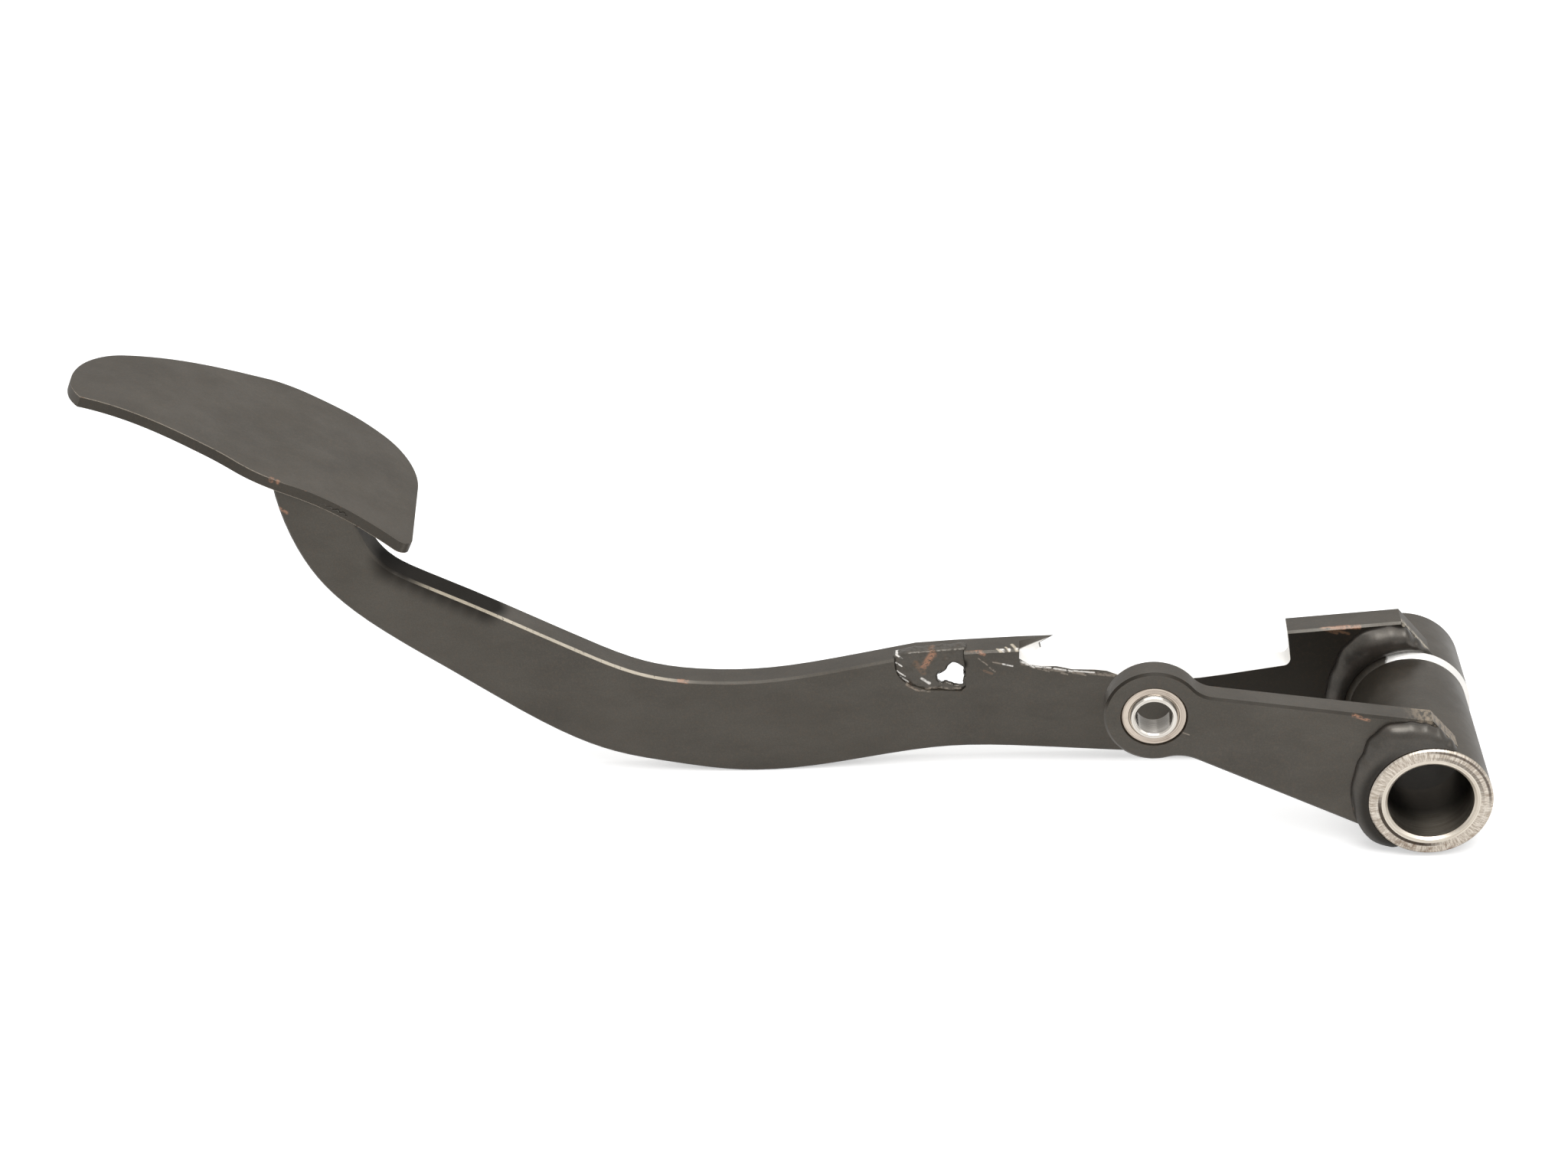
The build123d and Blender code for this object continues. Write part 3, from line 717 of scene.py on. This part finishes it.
def swept(name, rings, material):
    """Closed skin over a row of equal closed sections, with both ends capped."""
    form = bmesh.new()
    rows = [[form.verts.new(point) for point in ring] for ring in rings]
    count = len(rows[0])
    for first, second in zip(rows, rows[1:]):
        for i in range(count):
            j = (i + 1) % count
            face = form.faces.new((first[i], first[j], second[j], second[i]))
            face.smooth = True
    form.faces.new(reversed(rows[0]))
    form.faces.new(rows[-1])
    bmesh.ops.recalc_face_normals(form, faces=form.faces)
    mesh = bpy.data.meshes.new(name)
    form.to_mesh(mesh)
    form.free()
    mesh.materials.append(material)
    piece = bpy.data.objects.new(name, mesh)
    scene.collection.objects.link(piece)
    return piece


def bulged(outer, inner, corner, belly, point_of, lump, shift, ripple, phase, count=SECTION_POINTS):
    """One section of a bead from its outer toe to its inner toe, closed through the corner.

    Toes and corner are pairs in millimetres and point_of turns a pair into a place in metres. The
    skin stands belly out of the straight line, with lumps and with a ripple at the given phase."""
    run = (inner[0] - outer[0], inner[1] - outer[1])
    length = math.hypot(*run)
    side = (run[1] / length, -run[0] / length)
    middle = ((outer[0] + inner[0]) / 2, (outer[1] + inner[1]) / 2)
    if (corner[0] - middle[0]) * side[0] + (corner[1] - middle[1]) * side[1] > 0:
        side = (-side[0], -side[1])
    ring = []
    for i in range(count + 1):
        t = i / count
        weight = (4 * t * (1 - t)) ** BEAD_FULLNESS
        base = Vector(point_of(outer[0] + run[0] * t, outer[1] + run[1] * t))
        grit = GRIT_SHARE * noise.noise(base * GRIT_PER_METRE + shift)
        rough = noise.noise(base * LUMPS_PER_METRE + shift) + grit
        wave = math.cos(phase + RIPPLE_BOW * (2 * t - 1) ** 2)
        uneven = (rough * lump + ripple * wave) * min(1.0, TOE_CALM * weight) * min(1.0, belly)
        lift = belly * weight + uneven
        ring.append(point_of(outer[0] + run[0] * t + side[0] * lift, outer[1] + run[1] * t + side[1] * lift))
    ring.append(point_of(*corner))
    return ring


def round_bead(name, node_name, stations, plate_y, toe_y, root_r, seed, ripple=0.0, lump=0.55):
    """Bead round the pivot axis. stations lists (angle, outer radius, belly) by rising angle."""
    pitch = 2.9
    end_angle = 7.0
    least_size = 0.06
    steps_per_degree = 1.15
    start, end = stations[0][0], stations[-1][0]
    steps = int((end - start) * steps_per_degree)
    shift = Vector((seed * 3.1, seed * 1.7, seed * 2.3))
    rings = []
    travel = 0.0
    for k in range(steps + 1):
        angle = start + (end - start) * k / steps
        outer_r, belly = between(stations, angle)
        uneven_pace = 1 + 0.25 * noise.noise(Vector((k * 0.07, seed, 0.0)))
        travel += math.radians((end - start) / steps) * outer_r * uneven_pace
        size = rounded_end(min(angle - start, end - angle) / end_angle, least_size)
        cosine, sine = math.cos(math.radians(angle)), math.sin(math.radians(angle))

        def point_of(radius, y, cosine=cosine, sine=sine):
            return (radius * cosine * MM, y * MM, radius * sine * MM)

        outer = (root_r + (outer_r - root_r) * size, plate_y)
        inner = (root_r, plate_y + (toe_y - plate_y) * size)
        rings.append(bulged(outer, inner, (root_r, plate_y), belly * size, point_of, lump, shift, ripple,
                            travel / pitch * 2 * math.pi))
    piece = swept(name, rings, weld_paint)
    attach(piece, "pedal")
    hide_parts(node_name)


def seam_bead(name, node_name, side_y, leg, seed):
    """Short bead along the arm's top under the foot plate, on the side at side_y."""
    reach = 4.5 * MM
    steps = 70
    end_steps = 9.0
    least_size = 0.1
    belly_share, lump_share, ripple_share = 0.16, 0.04, 0.02
    ripple_turn = 0.9
    points = [nodes[node_name].matrix_world @ vert.co for vert in nodes[node_name].data.vertices]
    left = min(point.x for point in points)
    right = max(point.x for point in points)
    shift = Vector((seed, seed * 2.0, seed * 3.0))
    outward = 1.0 if side_y > (arm_face + arm_back) / 2 else -1.0
    rings = []
    for k in range(steps + 1):
        x = left + (right - left) * k / steps
        top = max(point.z for point in points if abs(point.x - x) < reach)
        size = leg * rounded_end(min(k, steps - k) / end_steps, least_size)

        def point_of(out, down, x=x, top=top):
            return (x, (side_y + outward * out) * MM, top - down * MM)

        rings.append(bulged((size, 0.0), (0.0, size), (0.0, 0.0), size * belly_share, point_of,
                            leg * lump_share, shift, leg * ripple_share, k * ripple_turn, SEAM_POINTS))
    piece = swept(name, rings, weld_paint)
    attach(piece, "pedal")
    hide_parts(node_name)


weld_paint = paint("weld_paint", WELD_BLACK, 0.33, wear_and_painted_light=weld_burn_and_toe_shade, wear=0.0, peel=0.0)
round_bead("boss_bead", "arm_boss_weld_front",
           [(67, 21.9, 0.2), (75, 23.0, 1.2), (85, 26.6, 2.6), (93, 31.0, 3.6), (104, 32.6, 3.9),
            (118, 33.6, 4.0), (132, 32.6, 3.6), (150, 30.0, 3.2), (168, 28.6, 2.8), (200, 28.2, 2.4),
            (222, 27.4, 2.0), (238, 24.2, 1.3), (250, 22.3, 0.5)],
           arm_face, arm_face - 1.0, boss_r, 1.0, ripple=0.01, lump=0.5)
round_bead("back_bead", "arm_boss_weld_back",
           [(104, 26.0, 0.8), (125, 28.0, 1.5), (190, 28.2, 1.5), (222, 27.2, 1.3), (238, 24.0, 0.9),
            (250, 22.3, 0.4)],
           arm_back, arm_back + 6.0, boss_r, 2.0, ripple=0.16)
round_bead("lever_bead", "lever_tube_weld",
           [(66, 20.6, 0.2), (76, 22.6, 0.9), (86, 26.2, 1.6), (95, 28.0, 2.2), (106, 29.8, 2.5),
            (118, 31.4, 2.6), (130, 30.4, 2.2), (145, 27.6, 1.6), (165, 26.0, 1.2), (190, 25.2, 1.0),
            (220, 24.8, 1.0), (244, 22.8, 0.5)],
           lever_face, hub_front + 0.7, tube_r, 3.0, lump=0.8)
seam_bead("foot_bead_back", "foot_weld_back", arm_back, 5.0, 4.0)
seam_bead("foot_bead_front", "foot_weld_front", arm_face, 0.5, 5.0)


# Patch of weld metal in the pocket
def solid_copy(name, node_name, voxel):
    """A finely and evenly meshed copy of a CAD node, ready for sculpting in code."""
    mesh = nodes[node_name].data.copy()
    form = bmesh.new()
    form.from_mesh(mesh)
    bmesh.ops.remove_doubles(form, verts=form.verts, dist=2e-6)
    form.to_mesh(mesh)
    form.free()
    raw = bpy.data.objects.new(name + "_raw", mesh)
    scene.collection.objects.link(raw)
    even = raw.modifiers.new("even", "REMESH")
    even.mode = "VOXEL"
    even.voxel_size = voxel
    graph = bpy.context.evaluated_depsgraph_get()
    fine = bpy.data.meshes.new_from_object(raw.evaluated_get(graph))
    bpy.data.objects.remove(raw)
    piece = bpy.data.objects.new(name, fine)
    scene.collection.objects.link(piece)
    return piece


def sculpt(piece, shift, rounds):
    """Smooths the mesh, then moves each vertex along its normal by shift(point)."""
    form = bmesh.new()
    form.from_mesh(piece.data)
    for _ in range(rounds):
        bmesh.ops.smooth_vert(form, verts=form.verts, factor=0.5, use_axis_x=True, use_axis_y=True,
                              use_axis_z=True)
    form.normal_update()
    moves = [(vert, vert.normal * shift(vert.co)) for vert in form.verts]
    for vert, move in moves:
        vert.co += move
    for face in form.faces:
        face.smooth = True
    form.to_mesh(piece.data)
    form.free()


def patch():
    """Puddled weld metal in the pocket, swollen and rippled."""
    swell, slow_height, quick_height = 0.7 * MM, 0.6 * MM, 0.2 * MM
    start = Vector((7.0, 3.0, 1.0))

    def shift(point):
        slow = noise.noise(point * 260.0 + start)
        quick = noise.noise(point * 800.0 + start)
        return swell + slow_height * slow + quick_height * quick

    piece = solid_copy("pocket_puddle", "arm_weld_patch", 0.3 * MM)
    sculpt(piece, shift, 3)
    piece.data.materials.clear()
    piece.data.materials.append(
        paint("patch_paint", PATCH_BLACK, 0.32, patch_marks, front=arm_back + 2.0, wear=0.0)
    )
    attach(piece, "pedal")
    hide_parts("arm_weld_patch")


patch()


# Floor, light and camera
def pale_floor():
    """White floor that keeps the shadow; a glow seen by the camera alone makes it white in the picture."""
    half_size = 6.0
    centre_x = -0.2
    gap = 0.1 * MM
    white = (0.72, 0.72, 0.72)
    glow_strength = 0.50
    mesh = bpy.data.meshes.new("floor")
    form = bmesh.new()
    bmesh.ops.create_grid(form, x_segments=2, y_segments=2, size=half_size)
    form.to_mesh(mesh)
    form.free()
    floor = bpy.data.objects.new("floor", mesh)
    floor.location = (centre_x, 0.0, cad_box[0].z - gap)
    scene.collection.objects.link(floor)
    ground = Net("floor_white")
    ground.put(ground.shader.inputs["Base Color"], white)
    ground.shader.inputs["Roughness"].default_value = 0.8
    glow = ground.tree.nodes.new("ShaderNodeEmission")
    rays = ground.tree.nodes.new("ShaderNodeLightPath")
    both = ground.tree.nodes.new("ShaderNodeAddShader")
    glow.inputs["Color"].default_value = (1.0, 1.0, 1.0, 1.0)
    ground.put(glow.inputs["Strength"], ground.times(rays.outputs["Is Camera Ray"], glow_strength))
    ground.put(both.inputs[0], ground.shader.outputs[0])
    ground.put(both.inputs[1], glow.outputs[0])
    ground.put(ground.out.inputs["Surface"], both.outputs[0])
    mesh.materials.append(ground.material)


def pale_world():
    """Soft light from all sides. Beyond the floor the camera sees an even pale grey."""
    world = bpy.data.worlds.new("studio")
    scene.world = world
    world.use_nodes = True
    tree = world.node_tree
    tree.nodes.clear()
    sky = tree.nodes.new("ShaderNodeBackground")
    sky.inputs["Color"].default_value = (1.0, 0.99, 0.97, 1.0)
    sky.inputs["Strength"].default_value = 0.70
    plain = tree.nodes.new("ShaderNodeBackground")
    plain.inputs["Strength"].default_value = 1.0
    rays = tree.nodes.new("ShaderNodeLightPath")
    choose = tree.nodes.new("ShaderNodeMixShader")
    out = tree.nodes.new("ShaderNodeOutputWorld")
    tree.links.new(rays.outputs["Is Camera Ray"], choose.inputs[0])
    tree.links.new(sky.outputs[0], choose.inputs[1])
    tree.links.new(plain.outputs[0], choose.inputs[2])
    tree.links.new(choose.outputs[0], out.inputs[0])


def lamp(name, place, aim, width, height, power):
    """Soft box at place, facing aim, in metres and watts."""
    light = bpy.data.lights.new(name, "AREA")
    light.shape = "RECTANGLE"
    light.size = width
    light.size_y = height
    light.energy = power
    body = bpy.data.objects.new(name, light)
    body.location = place
    body.rotation_euler = (Vector(aim) - Vector(place)).to_track_quat("-Z", "Y").to_euler()
    scene.collection.objects.link(body)


def photo_camera(place, right, up, behind, focal, sensor):
    """Camera with the photo's view: place in metres, its three axes, focal length and sensor width."""
    lens = bpy.data.cameras.new("camera")
    lens.sensor_width = sensor
    lens.sensor_fit = "HORIZONTAL"
    lens.lens = focal
    lens.clip_start = 0.01
    camera = bpy.data.objects.new("camera", lens)
    turn = Matrix((right, up, behind)).transposed().to_4x4()
    camera.matrix_world = Matrix.Translation(place) @ turn
    scene.collection.objects.link(camera)
    scene.camera = camera


pale_floor()
pale_world()
lamp("key", (0.05, -0.65, 1.10), (-0.15, 0.0, 0.0), 0.8, 0.7, 10.0)
lamp("top", (-0.09, 0.0, 1.30), (-0.09, 0.0, 0.0), 1.7, 0.6, 5.0)
lamp("fill", (0.75, -0.55, 0.60), (-0.1, 0.0, 0.0), 0.5, 0.5, 0.8)
lamp("rim", (0.15, 0.85, 0.75), (-0.1, 0.0, 0.0), 0.9, 0.25, 0.5)
photo_camera(
    place=(-0.10753, -0.74351, 0.44645),
    right=(0.99160, 0.09727, -0.08529),
    up=(0.03096, 0.46173, 0.88648),
    behind=(0.12561, -0.88167, 0.45484),
    focal=56.25,
    sensor=36.0,
)
